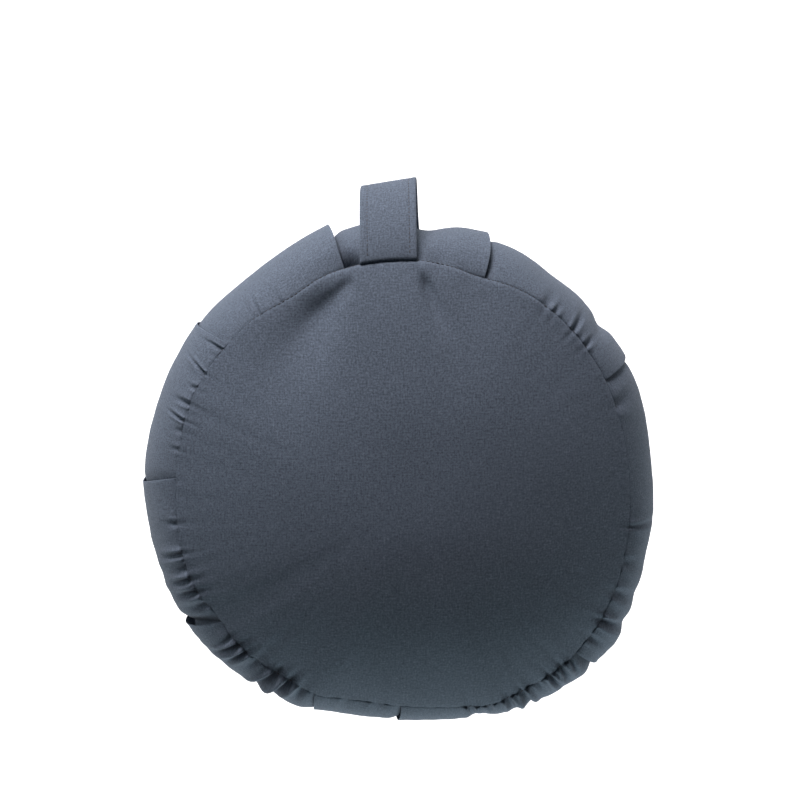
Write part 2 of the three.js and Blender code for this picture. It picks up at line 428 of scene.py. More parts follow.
    def dip(self, angle: Array, from_seam: Array) -> Array:
        """How far a seam draws the cloth in: a fine line."""
        return self.seam_depth(angle) * np.exp(-from_seam / self.seam_dip_width)


# Cloth finish


class NodeSketch:
    """Adds shader nodes to a material or a world one after the other."""

    def __init__(self, shaded: bpy.types.Material | bpy.types.World) -> None:
        """Empty the node tree of a material or a world."""
        shaded.use_nodes = True
        self.tree = shaded.node_tree
        self.tree.nodes.clear()

    def add(self, kind: str, inputs: dict, **settings: object) -> bpy.types.Node:
        """Add a node.

        Args:
            kind: The node's type.
            inputs: Values or sockets for its inputs, by name or number.
            settings: Values for the node's own settings.

        Returns:
            The node.
        """
        node = self.tree.nodes.new(kind)
        for name, value in settings.items():
            setattr(node, name, value)
        for key, value in inputs.items():
            if isinstance(value, bpy.types.NodeSocket):
                self.tree.links.new(value, node.inputs[key])
            else:
                node.inputs[key].default_value = value
        return node

    def math(self, operation: str, *values: object) -> bpy.types.NodeSocket:
        """One sum of numbers or sockets."""
        return self.add("ShaderNodeMath", dict(enumerate(values)), operation=operation).outputs[0]

    def ramp(self, value: bpy.types.NodeSocket, low: float, high: float) -> bpy.types.NodeSocket:
        """A value between 0 and 1 stretched to run from low to high."""
        inputs = {"Value": value, "To Min": low, "To Max": high}
        return self.add("ShaderNodeMapRange", inputs).outputs["Result"]

    def tinted(self, colour: tuple[float, float, float], tone: bpy.types.NodeSocket) -> bpy.types.NodeSocket:
        """A colour made lighter or darker by a factor."""
        inputs = {0: colour, "Scale": tone}
        return self.add("ShaderNodeVectorMath", inputs, operation="SCALE").outputs[0]

    def surface(self, inputs: dict) -> None:
        """End a material with one shader that has the given inputs."""
        shader = self.add("ShaderNodeBsdfPrincipled", inputs)
        self.add("ShaderNodeOutputMaterial", {"Surface": shader.outputs["BSDF"]})


@dataclass(frozen=True)
class ClothFinish:
    """Dyed plain-weave cotton. Lengths are millimetres of cloth."""

    name: str
    colour: tuple[float, float, float] = (0.081, 0.105, 0.142)
    thread_pitch: float = 0.55
    weave_depth: float = 0.16
    weave_tone: tuple[float, float] = (0.74, 1.1)
    low_thread: float = 0.5
    roughness: float = 0.88
    gloss: float = 0.25
    sheen: float = 0.06
    sheen_roughness: float = 0.45
    sheen_tint: tuple[float, float, float] = (0.8, 0.88, 1.0)
    slub_length: float = 7.0
    slub_width: float = 0.6
    slub_strength: float = 0.34
    speckle_size: float = 1.4
    speckle_strength: float = 0.62
    fade_size: float = 90.0
    fade_strength: float = 0.06
    edge_wear: float = 0.12

    def build(self) -> bpy.types.Material:
        """Make the material."""
        material = bpy.data.materials.new(self.name)
        sketch = NodeSketch(material)
        place = sketch.add("ShaderNodeUVMap", {}, uv_map=CLOTH_UV).outputs["UV"]
        height = self.weave(sketch, place)
        tone = self.tone(sketch, place, height)
        relief = {"Strength": 1.0, "Distance": self.weave_depth * MM, "Height": height}
        bump = sketch.add("ShaderNodeBump", relief)
        sketch.surface(
            {
                "Base Color": sketch.tinted(self.colour, tone),
                "Roughness": self.roughness,
                "Specular IOR Level": self.gloss,
                "Sheen Weight": self.sheen,
                "Sheen Roughness": self.sheen_roughness,
                "Sheen Tint": (*self.sheen_tint, 1.0),
                "Normal": bump.outputs["Normal"],
            }
        )
        return material

    def weave(self, sketch: NodeSketch, place: bpy.types.NodeSocket) -> bpy.types.NodeSocket:
        """Height of the crossing threads, between 0 and 1.

        Args:
            sketch: Where the nodes go.
            place: The place on the cloth, in millimetres.

        Returns:
            The socket that gives the height.
        """
        parts = sketch.add("ShaderNodeSeparateXYZ", {0: place})
        across = sketch.math("DIVIDE", parts.outputs["X"], self.thread_pitch)
        along = sketch.math("DIVIDE", parts.outputs["Y"], self.thread_pitch)
        warp = self.thread(sketch, across, along, 0.0)
        weft = self.thread(sketch, along, across, 1.0)
        return sketch.math("MAXIMUM", warp, weft)

    def thread(
        self,
        sketch: NodeSketch,
        side: bpy.types.NodeSocket,
        run: bpy.types.NodeSocket,
        start: float,
    ) -> bpy.types.NodeSocket:
        """Height of one set of threads, which go over and under the other set in turn.

        Args:
            sketch: Where the nodes go.
            side: The place across the threads, in threads.
            run: The place along the threads, in threads.
            start: 0 or 1, for the set that goes over first.

        Returns:
            The socket that gives the height.
        """
        round_thread = sketch.math("ABSOLUTE", sketch.math("SINE", sketch.math("MULTIPLY", side, math.pi)))
        turn_now = sketch.math("ADD", sketch.math("ADD", sketch.math("FLOOR", side), run), start)
        over = sketch.math("COSINE", sketch.math("MULTIPLY", turn_now, math.pi))
        return sketch.math("MULTIPLY", round_thread, sketch.ramp(over, self.low_thread, 1.0))

    def tone(
        self, sketch: NodeSketch, place: bpy.types.NodeSocket, height: bpy.types.NodeSocket
    ) -> bpy.types.NodeSocket:
        """How light the dyed cloth is: uneven threads, speckle, faint fading, and wear on the folds' edges.

        Args:
            sketch: Where the nodes go.
            place: The place on the cloth, in millimetres.
            height: The weave's height.

        Returns:
            The socket that gives a factor near 1.
        """
        fine = 1.0 / self.slub_width
        slow = 1.0 / self.slub_length
        tone = sketch.ramp(height, *self.weave_tone)
        layers = (
            ((fine, slow, 1.0), self.slub_strength),
            ((slow, fine, 1.0), self.slub_strength),
            ((1.0 / self.speckle_size,) * 3, self.speckle_strength),
            ((1.0 / self.fade_size,) * 3, self.fade_strength),
        )
        for scale, strength in layers:
            scaled = sketch.add("ShaderNodeMapping", {"Vector": place, "Scale": scale}).outputs["Vector"]
            spots = sketch.add("ShaderNodeTexNoise", {"Vector": scaled, "Scale": 1.0, "Detail": 1.0})
            factor = sketch.ramp(spots.outputs["Fac"], 1.0 - strength, 1.0 + strength)
            tone = sketch.math("MULTIPLY", tone, factor)
        worn = sketch.add("ShaderNodeAttribute", {}, attribute_name=FOLD_EDGE).outputs["Fac"]
        return sketch.math("MULTIPLY", tone, sketch.ramp(worn, 1.0, 1.0 + self.edge_wear))


@dataclass(frozen=True)
class ThreadAndPaintedShadeFinish:
    """Spun sewing thread, a little darker than the cloth. Its dark colour is partly painted shade: along the
    panels' seams the stitches stand in for the shade of the stitch holes.
    """

    name: str
    # Dark colour: real thread, and along the panels' seams also painted shade for the stitch holes.
    colour: tuple[float, float, float] = (0.032, 0.038, 0.052)
    roughness: float = 0.7
    sheen: float = 0.1
    ply_pitch: float = 0.5
    ply_waver: float = 0.4
    ply_depth: float = 0.05
    ply_tone: tuple[float, float] = (0.75, 1.15)

    def build(self) -> bpy.types.Material:
        """Make the material: the plies show as slanting bands."""
        material = bpy.data.materials.new(self.name)
        sketch = NodeSketch(material)
        place = sketch.add("ShaderNodeUVMap", {}, uv_map=CLOTH_UV).outputs["UV"]
        plies = sketch.add(
            "ShaderNodeTexWave",
            {"Vector": place, "Scale": 1.0 / self.ply_pitch, "Distortion": self.ply_waver},
            bands_direction="DIAGONAL",
        ).outputs["Fac"]
        bump = sketch.add("ShaderNodeBump", {"Distance": self.ply_depth * MM, "Height": plies})
        sketch.surface(
            {
                "Base Color": sketch.tinted(self.colour, sketch.ramp(plies, *self.ply_tone)),
                "Roughness": self.roughness,
                "Sheen Weight": self.sheen,
                "Normal": bump.outputs["Normal"],
            }
        )
        return material


# The pieces of the cover


def finish_piece(piece: bpy.types.Object, material: bpy.types.Material) -> None:
    """Give a piece its material and the body that it moves with."""
    piece.data.materials.append(material)
    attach(piece, BODY)
    log.info("%s: %d faces", piece.name, len(piece.data.polygons))


@dataclass(frozen=True)
class SideStations:
    """The walk once round the side's cloth, folds included, one entry for each column of points."""

    angle: Array
    lift: Array
    layer: Array
    edge: Array
    arc: Array


@dataclass
class PleatedSide:
    """The filled side: a band of cloth with knife pleats, gathered where it is sewn to both panels.

    The columns of points run from seam to seam, and stand close together at the pleats and the gathers. The
    pleats open within opening_share of the side's height, and keep closed_share of their depth at the seams.
    """

    form: CushionForm
    name: str = "pleated_side_cloth"
    rows: int = 72
    row_crowding: float = 0.75
    column_step: float = 0.75
    closest_columns: float = 0.06
    fewest_columns: int = 4
    last_column: float = 0.02
    crevice_columns: tuple[float, ...] = (3.0, 1.8, 1.0, 0.5, 0.1)
    gather_spread: float = 2.4
    gather_columns: float = 2.2
    fold_columns: int = 6
    fold_bends: tuple[float, ...] = (30.0, 60.0, 90.0, 120.0, 150.0)
    fold_radius: float = 0.4
    before_edge: float = 0.01
    past_edge: float = 1e-6
    worn_width: float = 1.2
    cloth_thickness: float = 0.6
    opening_share: float = 0.16
    closed_share: float = 0.4
    low_cloth_width: float = 3.0
    crevice_width: float = 0.3
    slant_half_width: float = 7.0
    edge_wander: float = 0.35
    edge_waves: float = 3.0
    next_edge: float = 7.0
    strap_sink: float = 3.0
    sink_angle: float = 97.0
    sink_half_width: float = 24.0
    sink_reach: float = 12.0
    puff_height: float = 1.2
    puff_size: float = 55.0
    wrinkle_height: float = 0.25
    wrinkle_size: float = 9.0
    wrinkle_length: float = 42.0
    pucker_height: float = 0.35
    pucker_size: float = 4.2
    pucker_length: float = 30.0
    pucker_reach: float = 4.5
    end_rings: tuple[float, ...] = (0.0, 0.3, 0.55, 0.75, 0.88, 0.96)
    end_depth: float = 7.5
    fill: float = 0.85
    pleats: tuple[Pleat, ...] = (
        Pleat(29.4, 1.2, 0.8, 9.0, 20.0, 10.0, 0.0, 0.8),
        Pleat(71.4, 3.2, 2.0, 12.0, 14.0, 8.0, 0.8, 4.0),
        Pleat(106.2, 5.0, 3.0, 14.0, 16.0, 12.0, 0.5, 5.0),
        Pleat(142.4, 1.4, 0.2, 9.0, 12.0, 8.0, 2.4, 0.25),
        Pleat(179.4, 1.2, 0.1, 10.0, 14.0, 10.0, 3.2, 0.6),
        Pleat(212.6, 0.6, 4.4, 12.0, 14.0, 5.0, -2.5, 0.9),
        Pleat(248.6, 0.6, 0.6, 8.0, 12.0, 5.0, 3.0, 0.5),
        Pleat(268.3, 0.8, 2.6, 7.0, 8.0, 4.0, 0.0, 0.3),
        Pleat(302.0, 1.6, 3.5, 7.0, 6.0, 4.0, 3.5, 2.0),
        Pleat(316.4, 1.4, 3.5, 7.0, 6.0, 4.0, 0.8, 0.8),
    )
    gathers: tuple[Gather, ...] = (
        Gather(22.0, 1.2, 1.3, 0.16, 1.0),
        Gather(39.3, 2.2, 0.6, 0.10),
        Gather(44.3, 2.8, 0.6, 0.15, 0.7),
        Gather(50.7, 2.0, 0.6, 0.08),
        Gather(53.5, 1.2, 1.0, 0.14),
        Gather(82.0, 3.0, 2.0, 0.14, 1.0, 0.0),
        Gather(123.3, 1.0, 0.5, 0.05),
        Gather(129.5, 1.2, 0.4, 0.16, -2.0),
        Gather(141.9, 2.6, 0.28, 0.13, 1.6, 0.2),
        Gather(149.2, 2.6, 0.3, 0.16, -1.6),
        Gather(153.5, 1.6, 0.5, 0.05),
        Gather(157.5, 2.2, 0.5, 0.11, 0.6),
        Gather(161.8, 2.6, 0.35, 0.12, -0.8),
        Gather(164.5, 1.4, 0.6, 0.05),
        Gather(169.2, 1.0, 0.5, 0.06),
        Gather(187.5, 1.6, 0.6, 0.07),
        Gather(195.2, 3.2, 0.55, 0.16, 0.8),
        Gather(199.0, 1.6, 0.6, 0.08),
        Gather(201.9, 4.2, 0.55, 0.16, 0.5),
        Gather(205.3, 4.4, 0.6, 0.15),
        Gather(209.0, 2.6, 0.8, 0.15),
        Gather(219.5, 2.0, 0.5, 0.08),
        Gather(222.4, 5.0, 0.55, 0.2, -2.0),
        Gather(225.0, 4.6, 0.5, 0.17, -1.0),
        Gather(228.5, 1.8, 0.8, 0.12),
        Gather(234.5, 8.0, 0.8, 0.32, -2.0),
        Gather(238.6, 7.0, 0.75, 0.3, -2.4),
        Gather(242.0, 2.0, 0.9, 0.14),
        Gather(254.0, 0.8, 1.2, 0.20),
        Gather(262.0, 1.2, 1.2, 0.25, 2.5),
        Gather(286.0, 4.5, 0.6, 0.2),
        Gather(290.5, 3.2, 0.55, 0.14),
        Gather(295.2, 6.5, 0.6, 0.22, 0.6),
        Gather(299.1, 7.0, 0.6, 0.22),
        Gather(303.5, 2.0, 0.6, 0.10),
        Gather(306.8, 6.0, 0.45, 0.16, 0.5),
        Gather(310.4, 6.5, 0.5, 0.15, -1.4),
        Gather(313.2, 5.0, 0.4, 0.12, -1.5),
        Gather(320.5, 1.8, 0.7, 0.12),
        Gather(325.3, 4.6, 0.7, 0.18, 0.6),
        Gather(333.0, 2.2, 0.9, 0.16),
        Gather(341.0, 1.2, 1.0, 0.14),
        Gather(350.0, 1.0, 0.5, 0.30, 2.0),
    )
    back_share: float = 0.4
    back_shift: float = 3.0
    pocket: Pocket = Pocket(99.5, 106.2, 32.0, 0.1)
    crumpled: tuple[Hollow, ...] = (
        Hollow(46.0, 0.3, 12.0),
        Hollow(217.0, 0.8, 26.0),
        Hollow(308.0, 0.8, 22.0),
    )

    def pleat_lift(self, angle: Array) -> Array:
        """How far the flaps and the low cloth beside them stand out or in."""
        lift = np.zeros_like(angle)
        for pleat in self.pleats:
            past = turn(pleat.edge, angle)
            flap = pleat.stand * np.clip(1.0 - past / pleat.run, 0.0, None) ** 2
            low = -pleat.drop * np.clip(1.0 + past / pleat.rise, 0.0, None) ** 2
            lift += np.where(past >= 0.0, flap, low)
        return lift

    def low_layer(self, angle: Array) -> Array:
        """How far the cloth sinks towards a pleat, to pass below its flap through a narrow crevice."""
        below = 2.0 * self.cloth_thickness + self.fold_radius
        layer = np.zeros_like(angle)
        for pleat in self.pleats:
            past = turn(pleat.edge, angle)
            before = np.where(past < 0.0, past, -180.0)
            crevice = pleat.gap * np.exp(before / self.crevice_width)
            sunk = below * min(1.0, pleat.gap)
            layer -= sunk * ease(1.0 + before / self.low_cloth_width) + crevice
        return layer

    def fold(self, pleat: Pleat) -> list[tuple[float, float, float, float]]:
        """The hidden part of one pleat, from under its free edge to the tuck and back round the edge.

        Args:
            pleat: The pleat.

        Returns:
            Rows of angle, lift, layer and nearness to the free edge.
        """
        lap = math.degrees(pleat.lap / self.form.girth_radius)
        tip = math.degrees(self.fold_radius / self.form.girth_radius)
        before = float(self.pleat_lift(np.array(pleat.edge - self.before_edge)))
        shares = np.linspace(0.0, 1.0, self.fold_columns)
        flap = self.pleat_lift(pleat.edge + lap * shares)
        thick = self.cloth_thickness
        rows = []
        for share in shares:
            lift = before + (flap[-1] - before) * float(ease(share))
            sunk = (self.fold_radius + pleat.gap) * (1.0 - share)
            rows.append((pleat.edge + lap * share, lift, -2.0 * thick - sunk, 0.0))
        rows.append((pleat.edge + lap + tip / 2.0, flap[-1], -1.5 * thick, 0.0))
        for share, above in zip(shares[::-1], flap[::-1]):
            layer = -thick - (2.0 * self.fold_radius - thick) * (1.0 - share)
            rows.append((pleat.edge + lap * share, above, layer, 0.0))
        for bend in self.fold_bends:
            out = math.sin(math.radians(bend))
            layer = -self.fold_radius * (1.0 + math.cos(math.radians(bend)))
            rows.append((pleat.edge - tip * out, flap[0], layer, 1.0))
        return rows

    def plain_columns(self, start: float, width: float) -> Array:
        """Angles of the columns from one pleat's edge to the next, closer together where the cloth is busy.

        Args:
            start: The angle of the edge.
            width: How far round the next edge is.

        Returns:
            The angles, from the edge on.
        """
        count = max(self.fewest_columns, round(width / self.column_step))
        in_crevice = self.crevice_width * np.array(self.crevice_columns)
        places = [width * np.arange(count) / count, width - in_crevice]
        for gather in self.gathers:
            spread = self.gather_spread * gather.half_width
            low = gather.at + min(0.0, gather.lean) - spread
            high = gather.at + max(0.0, gather.lean) + spread
            step = gather.half_width / self.gather_columns
            places.append((np.arange(low, high, step) - start) % 360.0)
        ordered = np.sort(np.concatenate(places))
        ordered = ordered[ordered < width - self.last_column]
        apart = np.concatenate([[True], np.diff(ordered) > self.closest_columns])
        return start + ordered[apart]

    def stations(self) -> SideStations:
        """Walk once round the cloth, from the first pleat's low side to the same place again.

        Returns:
            The columns of the side, the first one repeated as the last.
        """
        order = sorted(self.pleats, key=lambda pleat: pleat.edge)
        rows: list[tuple[float, float, float, float]] = []
        for pleat, following in zip(order, order[1:] + order[:1]):
            rows += self.fold(pleat)
            plain = self.plain_columns(pleat.edge, (following.edge - pleat.edge) % 360.0)
            edge = bell((plain - pleat.edge) * math.radians(self.form.girth_radius), self.worn_width)
            past = plain + self.past_edge
            rows += zip(plain, self.pleat_lift(past), self.low_layer(past), edge)
        angle, lift, layer, edge = (np.array(column) for column in zip(*rows, rows[0]))
        angle[-1] += 360.0
        arc = way_along(*polar(self.form.girth(angle) + lift + layer, angle))
        return SideStations(angle, lift, layer, edge, arc)

    def shifted(self, angle: Array, level: Array) -> Array:
        """Angles moved a little, because no pleat's edge runs quite straight from seam to seam."""
        moved = angle.copy()
        for number, pleat in enumerate(self.pleats):
            near = bell(turn(pleat.edge, angle), self.slant_half_width)
            lean = pleat.slant * (np.sin(np.pi * level) - 1.0)
            own = np.full_like(level, self.next_edge * number)
            wander = self.edge_wander * ripple(self.edge_waves * level, own, Seed.FOLD_EDGES)
            moved += near * (lean + wander)
        return moved

    def gathered(self, angle: Array, level: Array) -> Array:
        """Depth of the gathers at the front seam, and of the lower ones at the back seam."""
        depth = np.zeros_like(angle)
        for number, gather in enumerate(self.gathers):
            beside = self.back_shift * math.sin(number)
            depth += gather.trough(angle, level)
            depth += self.back_share * gather.trough(angle - beside, 1.0 - level)
        return depth

    def crumples(self, angle: Array, along: Array, down: Array) -> Array:
        """Small wrinkles that run down the side, strongest where the cloth hangs slack."""
        slack = sum(place.at_angle(angle) for place in self.crumpled)
        waves = ripple(along / self.wrinkle_size, down / self.wrinkle_length, Seed.WRINKLES)
        return (self.wrinkle_height + slack) * waves

    def surface(self, stations: SideStations) -> tuple[Array, Array]:
        """Places of all points of the band.

        Args:
            stations: The columns of the band.

        Returns:
            The points, and their places on the flat cloth, both by row and column.
        """
        form = self.form
        even = np.linspace(0.0, 1.0, self.rows)
        levels = even - self.row_crowding * np.sin(2.0 * np.pi * even) / (2.0 * np.pi)
        level, angle = np.meshgrid(levels, stations.angle, indexing="ij")
        angle = self.shifted(angle, level)
        radius, height, outwards, upwards = form.side(angle, level)
        down = way_along(radius, height)
        from_seam = np.minimum(down, down[-1] - down)
        along = np.tile(stations.arc, (self.rows, 1))
        free = np.sin(np.pi * level) ** 0.5
        open_share = np.minimum(1.0, np.sqrt(np.minimum(level, 1.0 - level) / self.opening_share))
        place = np.radians(angle) * form.girth_radius / self.puff_size
        layer_share = self.closed_share + (1.0 - self.closed_share) * open_share
        offset = stations.lift * open_share + stations.layer * layer_share
        offset += self.puff_height * ripple(place, down / self.puff_size, Seed.PUFFS) * free
        offset += self.crumples(angle, along, down) * free
        puckers = ripple(along / self.pucker_size, down / self.pucker_length, Seed.SIDE_PUCKERS)
        offset += self.pucker_height * puckers * bell(from_seam, self.pucker_reach)
        sink = self.strap_sink * bell(turn(self.sink_angle, angle), self.sink_half_width)
        offset -= sink * bell(from_seam, self.sink_reach)
        offset -= self.gathered(angle, level) + form.dip(angle, from_seam)
        offset -= self.pocket.at(stations.angle, level)
        x, y = polar(radius + offset * outwards, angle)
        points = np.stack([x, y, height + offset * upwards], axis=-1)
        return points, np.stack([along, down], axis=-1)

    def ends(self, stations: SideStations) -> tuple[Array, Array]:
        """The two hidden ends that close the filled form below the panels.

        Args:
            stations: The columns of the band.

        Returns:
            The front end's rings from the middle outwards, and the back end's from the seam inwards.
        """
        form = self.form
        share, angle = np.meshgrid(self.end_rings, stations.angle, indexing="ij")
        x, y = polar(form.seam(angle) * share, angle)
        front = np.stack([x, y, form.front_height(angle, share) - self.end_depth], axis=-1)
        back = np.stack([x, y, form.back_height(share) + self.end_depth], axis=-1)
        return front, back[::-1]

    def build(self, material: bpy.types.Material) -> bpy.types.Object:
        """Make the piece.

        Args:
            material: The side's cloth.

        Returns:
            The piece.
        """
        stations = self.stations()
        band, cloth = self.surface(stations)
        front, back = self.ends(stations)
        columns = len(stations.angle)
        points = np.concatenate([front, band, back]).reshape(-1, 3)
        uv = np.concatenate([front[..., :2], cloth, back[..., :2]]).reshape(-1, 2)
        rows = len(points) // columns
        piece = mesh_piece(self.name, points, grid_faces(rows, columns), uv)
        edge = np.zeros((rows, columns), dtype=np.float32)
        edge[len(front) : len(front) + self.rows] = stations.edge
        mark = piece.data.attributes.new(FOLD_EDGE, "FLOAT", "POINT")
        mark.data.foreach_set("value", edge.ravel())
        weld(piece)
        finish_piece(piece, material)
        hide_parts("pleated_side")
        return piece


@dataclass(frozen=True)
class Crease:
    """A soft trough in a panel, from one place to another.

    It sets in before its start, over the share lead of its length. It is start_width times half_width wide
    at its start, and grows by widening times half_width to its end.
    """

    start: tuple[float, float]
    end: tuple[float, float]
    depth: float
    half_width: float
    lead: float = 0.3
    start_width: float = 0.6
    widening: float = 0.8

    def at(self, x: Array, y: Array) -> Array:
        """Depth of the trough, which is deepest at its start and widens to its end."""
        start, end = np.array(self.start), np.array(self.end)
        length = float(np.hypot(*(end - start)))
        along_x, along_y = (end - start) / length
        along = (x - start[0]) * along_x + (y - start[1]) * along_y
        across = (y - start[1]) * along_x - (x - start[0]) * along_y
        share = np.clip(along / length, -self.lead, 1.0)
        fade = ease(1.0 - share) * ease((share + self.lead) / self.lead)
        width = self.half_width * (self.start_width + self.widening * share)
        return self.depth * fade * np.exp(-((across / width) ** 2))


class Face(Enum):
    """Which of the two panels."""

    FRONT = "front"
    BACK = "back"


@dataclass
class RoundPanel:
    """One round panel, sewn to the side all round.

    Its slow ripples have their full height from ripple_start on, and its stitches hide where the seam is
    shallower than open_seam. The back panel has its relief lift_share outside the part that rests.
    """

    form: CushionForm
    face: Face
    gathers: tuple[Gather, ...]
    cells: int = 180
    edge_crowding: float = 0.45
    thickness: float = 1.2
    sharp_angle: float = 60.0
    pucker_height: float = 0.4
    pucker_reach: float = 5.0
    pucker_size: float = 4.2
    pucker_length: float = 30.0
    gather_share: float = 0.3
    gather_reach: float = 9.0
    open_seam: float = 1.0
    hidden_stitch: float = 1.2
    ripple_height: float = 0.6
    ripple_size: float = 48.0
    ripple_start: float = 20.0
    lift_share: float = 0.15
    cut_steps: int = 60
    cut_turn: float = 10.0
    creases: tuple[Crease, ...] = (
        Crease((-44.0, 142.0), (-88.0, 98.0), 2.8, 8.0, 0.2),
        Crease((-62.0, 122.0), (-118.0, 50.0), 6.0, 24.0, 0.35),
        Crease((12.5, 142.0), (29.0, 98.0), 4.4, 7.0),
    )

    @property
    def name(self) -> str:
        """The piece's name."""
        return f"{self.face.value}_panel_cloth"

    def grid(self) -> tuple[Array, Array]:
        """A square grid drawn out to a disc, with its cells closer together towards the seam.

        Returns:
            Each point's angle, and its share of the seam's radius.
        """
        side = np.linspace(-1.0, 1.0, self.cells + 1)
        b, a = np.meshgrid(side, side, indexing="ij")
        wide = np.abs(a) > np.abs(b)
        ring = np.where(wide, a, b)
        safe = np.where(ring == 0.0, 1.0, ring)
        angle = np.where(wide, 45.0 * b / safe, 90.0 - 45.0 * a / safe)
        even = np.abs(ring)
        share = (1.0 - self.edge_crowding) * even + self.edge_crowding * np.sin(np.pi / 2.0 * even)
        return np.where(ring < 0.0, angle + 180.0, angle), share

    def relief(self, angle: Array, share: Array) -> Array:
        """How far the cloth stands out from the plain form."""
        form = self.form
        seam = form.seam(angle)
        from_seam = seam * (1.0 - share)
        x, y = polar(seam * share, angle)
        around = np.radians(angle) * seam / self.pucker_size
        puckers = self.pucker_height * ripple(around, from_seam / self.pucker_length, Seed.PANEL_PUCKERS)
        puckers = puckers * bell(from_seam, self.pucker_reach)
        at_seam = np.zeros_like(angle)
        gathers = sum(gather.trough(angle, at_seam) for gather in self.gathers)
        gathers = self.gather_share * gathers * bell(from_seam, self.gather_reach)
        slow = self.ripple_height * ripple(x / self.ripple_size, y / self.ripple_size, Seed.PANEL_RIPPLES)
        slow = slow * ease(from_seam / self.ripple_start)
        relief = puckers - gathers + slow - form.dip(angle, from_seam)
        if self.face is Face.FRONT:
            relief = relief - sum(crease.at(x, y) for crease in self.creases)
        return relief

    def build(self, material: bpy.types.Material) -> bpy.types.Object:
        """Make the piece.

        Args:
            material: The panel's cloth.

        Returns:
            The piece.
        """
        form = self.form
        angle, share = self.grid()
        x, y = polar(form.seam(angle) * share, angle)
        relief = self.relief(angle, share)
        faces = grid_faces(self.cells + 1, self.cells + 1)
        if self.face is Face.FRONT:
            height = form.front_height(angle, share) + relief
            faces = [corners[::-1] for corners in faces]
        else:
            lifted = ease((share - form.rest_share) / self.lift_share)
            height = np.maximum(0.0, form.back_height(share) - relief * lifted)
        points = np.stack([x, y, height], axis=-1).reshape(-1, 3)
        piece = mesh_piece(self.name, points, faces, points[:, :2])
        wall = piece.modifiers.new("cloth_thickness", "SOLIDIFY")
        wall.thickness = self.thickness * MM
        wall.offset = -1.0
        select_only(piece)
        bpy.ops.object.modifier_apply(modifier=wall.name)
        bpy.ops.object.shade_smooth_by_angle(angle=math.radians(self.sharp_angle))
        finish_piece(piece, material)
        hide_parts(f"{self.face.value}_panel")
        cut = self.cut_radius() * MM
        return piece

    def cut_radius(self) -> float:
        """Mean radius of the flat cut, measured along the domed cloth from the middle to the seam."""
        shares = np.linspace(0.0, 1.0, self.cut_steps)
        share, angle = np.meshgrid(shares, np.arange(0.0, 360.0, self.cut_turn), indexing="ij")
        plain = self.form.back_height(share)
        if self.face is Face.FRONT:
            plain = self.form.front_height(angle, share)
        return float(way_along(self.form.seam(angle) * share, plain)[-1].mean())

    def seam_row(self, pitch: float) -> "StitchRow":
        """Places for the stitches of the panel's seam.

        Args:
            pitch: The distance from one stitch to the next.

        Returns:
            The row.
        """
        form = self.form
        mean = float(form.seam(np.arange(0.0, 360.0)).mean())
        angle = np.linspace(0.0, 360.0, round(2.0 * math.pi * mean / pitch), endpoint=False)
        radius = form.seam(angle)
        front = self.face is Face.FRONT
        one = np.ones_like(angle)
        cosine, sine = polar(one, angle)
        height = form.front_height(angle, one) if front else form.back_height(one)
        upwards = one if front else -one
        depth = form.seam_depth(angle)
        hidden = self.hidden_stitch * np.clip(1.0 - depth / self.open_seam, 0.0, 1.0)
        height = height - upwards * (depth + hidden)
        point = np.stack([radius * cosine, radius * sine, height], axis=-1)
        along = np.stack([-sine, cosine, 0.0 * one], axis=-1)
        lean = math.radians(form.seam_lean)
        out = math.sin(lean)
        normal = np.stack([out * cosine, out * sine, math.cos(lean) * upwards], axis=-1)
        return StitchRow(point, along, normal)


